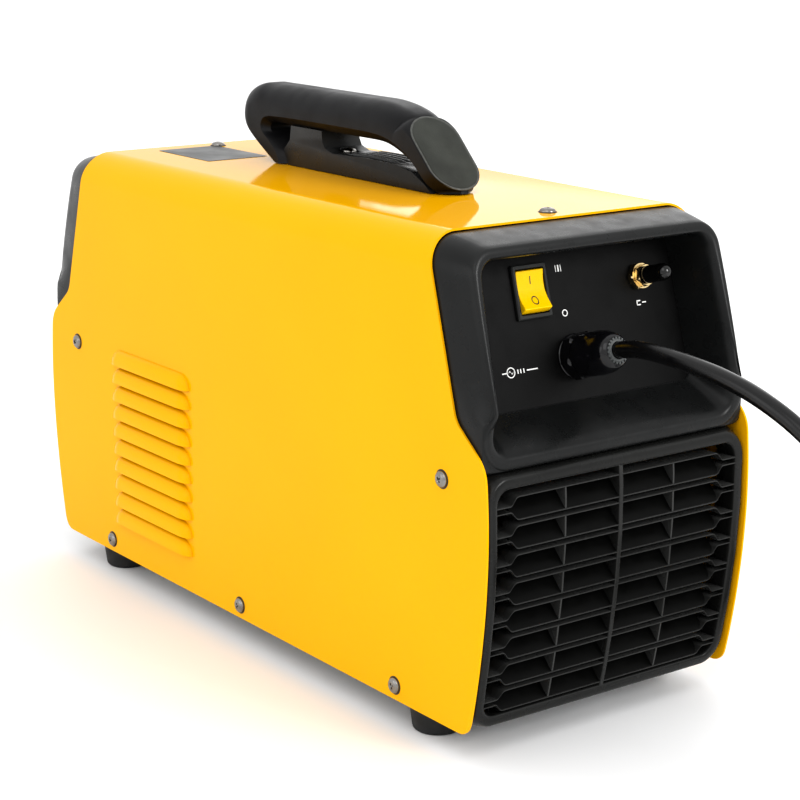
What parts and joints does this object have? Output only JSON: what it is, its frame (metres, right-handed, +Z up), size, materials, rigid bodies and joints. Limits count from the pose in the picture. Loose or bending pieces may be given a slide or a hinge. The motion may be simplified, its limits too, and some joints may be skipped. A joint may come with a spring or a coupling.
{
  "type": "tig welding machine",
  "caption": "Portable welding inverter: folded sheet cover with louvres, moulded end bezels, rear vent grille, carrying handle, rocker switch, gas inlet and mains cord.",
  "frame": {"origin": "middle of the footprint, on the plane the rubber feet stand on", "axes": "+Z up, control panel faces -Y, panel with the mains switch and cord faces +Y"},
  "size_m": [0.335, 0.6956, 0.3395],
  "materials": {
    "yellow_sheet": "gloss",
    "dark_sheet": "satin",
    "black_moulding": "satin",
    "grey_moulding": "matt",
    "foot_rubber": "matt",
    "screw_steel": "bright",
    "yellow_plastic": "gloss",
    "brass_fitting": "satin",
    "cap_rubber": "gloss",
    "dark_window": "gloss",
    "knob_plastic": "satin",
    "heatsink_aluminium": "satin",
    "board": "satin",
    "core_iron": "matt",
    "winding": "gloss",
    "cord_rubber": "satin"
  },
  "bodies": {
    "chassis": {"arc_starter": "black_moulding", "base_pan": "dark_sheet", "capacitor": "knob_plastic", "connector_panel": "black_moulding", "control_board": "board", "cord_coil": "cord_rubber", "cover": "yellow_sheet", "display_window": "dark_window", "fan_frame": "black_moulding", "foot_front_left": "foot_rubber", "foot_front_right": "foot_rubber", "foot_rear_left": "foot_rubber", "foot_rear_right": "foot_rubber", "front_bezel": "black_moulding", "front_panel": "black_moulding", "gas_inlet": "brass_fitting", "gas_outlet": "brass_fitting", "gas_valve": "brass_fitting", "gland_body": "black_moulding", "gland_locknut": "black_moulding", "gland_nut": "black_moulding", "handle_base": "black_moulding", "handle_grip": "grey_moulding", "handle_screw_front": "screw_steel", "handle_screw_rear": "screw_steel", "heatsink": "heatsink_aluminium", "output_inductor": "winding", "output_socket_negative": "black_moulding", "output_socket_positive": "black_moulding", "plug": "cord_rubber", "power_board": "board", "power_cord": "cord_rubber", "rear_bezel": "black_moulding", "rear_grille": "black_moulding", "rear_panel": "black_moulding", "side_screw_left_front_lower": "screw_steel", "side_screw_left_front_upper": "screw_steel", "side_screw_left_middle_lower": "screw_steel", "side_screw_left_rear_lower": "screw_steel", "side_screw_left_rear_upper": "screw_steel", "side_screw_right_front_lower": "screw_steel", "side_screw_right_front_upper": "screw_steel", "side_screw_right_middle_lower": "screw_steel", "side_screw_right_rear_lower": "screw_steel", "side_screw_right_rear_upper": "screw_steel", "switch_housing": "black_moulding", "top_screw_front": "screw_steel", "top_screw_rear": "screw_steel", "torch_control_socket": "screw_steel", "transformer": "core_iron"},
    "rocker": {"switch_rocker": "yellow_plastic"},
    "gas_cap": {"gas_inlet_cap": "cap_rubber"},
    "fan": {"fan_impeller": "black_moulding"},
    "current_knob": {"knob_current": "knob_plastic"},
    "balance_knob": {"knob_balance": "knob_plastic"},
    "pulse_knob": {"knob_pulse": "knob_plastic"},
    "slope_knob": {"knob_slope": "knob_plastic"},
    "process_toggle": {"toggle_process": "screw_steel"},
    "output_toggle": {"toggle_output": "screw_steel"},
    "trigger_toggle": {"toggle_trigger": "screw_steel"}
  },
  "joints": [
    {"name": "power_switch", "type": "hinge", "parent": "chassis", "child": "rocker", "pos_m": [0.028, 0.19409, 0.25002], "axis": [1, 0, 0], "range_deg": [-18, 0]},
    {"name": "gas_cap_pull", "type": "slide", "parent": "chassis", "child": "gas_cap", "axis": [0, 0.9613, 0.2755], "range_m": [0, 0.03]},
    {"name": "fan_spin", "type": "hinge", "parent": "chassis", "child": "fan", "pos_m": [0, 0.1995, 0.088], "axis": [0, 1, 0], "continuous": true},
    {"name": "current_dial", "type": "hinge", "parent": "chassis", "child": "current_knob", "pos_m": [0, -0.20516, 0.215], "axis": [0, -0.9613, 0.2755], "range_deg": [-150, 150]},
    {"name": "balance_dial", "type": "hinge", "parent": "chassis", "child": "balance_knob", "pos_m": [-0.05, -0.19456, 0.252], "axis": [0, -0.9613, 0.2755], "range_deg": [-150, 150]},
    {"name": "pulse_dial", "type": "hinge", "parent": "chassis", "child": "pulse_knob", "pos_m": [-0.05, -0.20603, 0.212], "axis": [0, -0.9613, 0.2755], "range_deg": [-150, 150]},
    {"name": "slope_dial", "type": "hinge", "parent": "chassis", "child": "slope_knob", "pos_m": [0.05, -0.20603, 0.212], "axis": [0, -0.9613, 0.2755], "range_deg": [-150, 150]},
    {"name": "process_switch", "type": "hinge", "parent": "chassis", "child": "process_toggle", "pos_m": [0.036, -0.19016, 0.26156], "axis": [1, 0, 0], "range_deg": [-24, 0]},
    {"name": "output_switch", "type": "hinge", "parent": "chassis", "child": "output_toggle", "pos_m": [0.054, -0.19016, 0.26156], "axis": [1, 0, 0], "range_deg": [-24, 0]},
    {"name": "trigger_switch", "type": "hinge", "parent": "chassis", "child": "trigger_toggle", "pos_m": [0.054, -0.19589, 0.24156], "axis": [1, 0, 0], "range_deg": [-24, 0]}
  ]
}
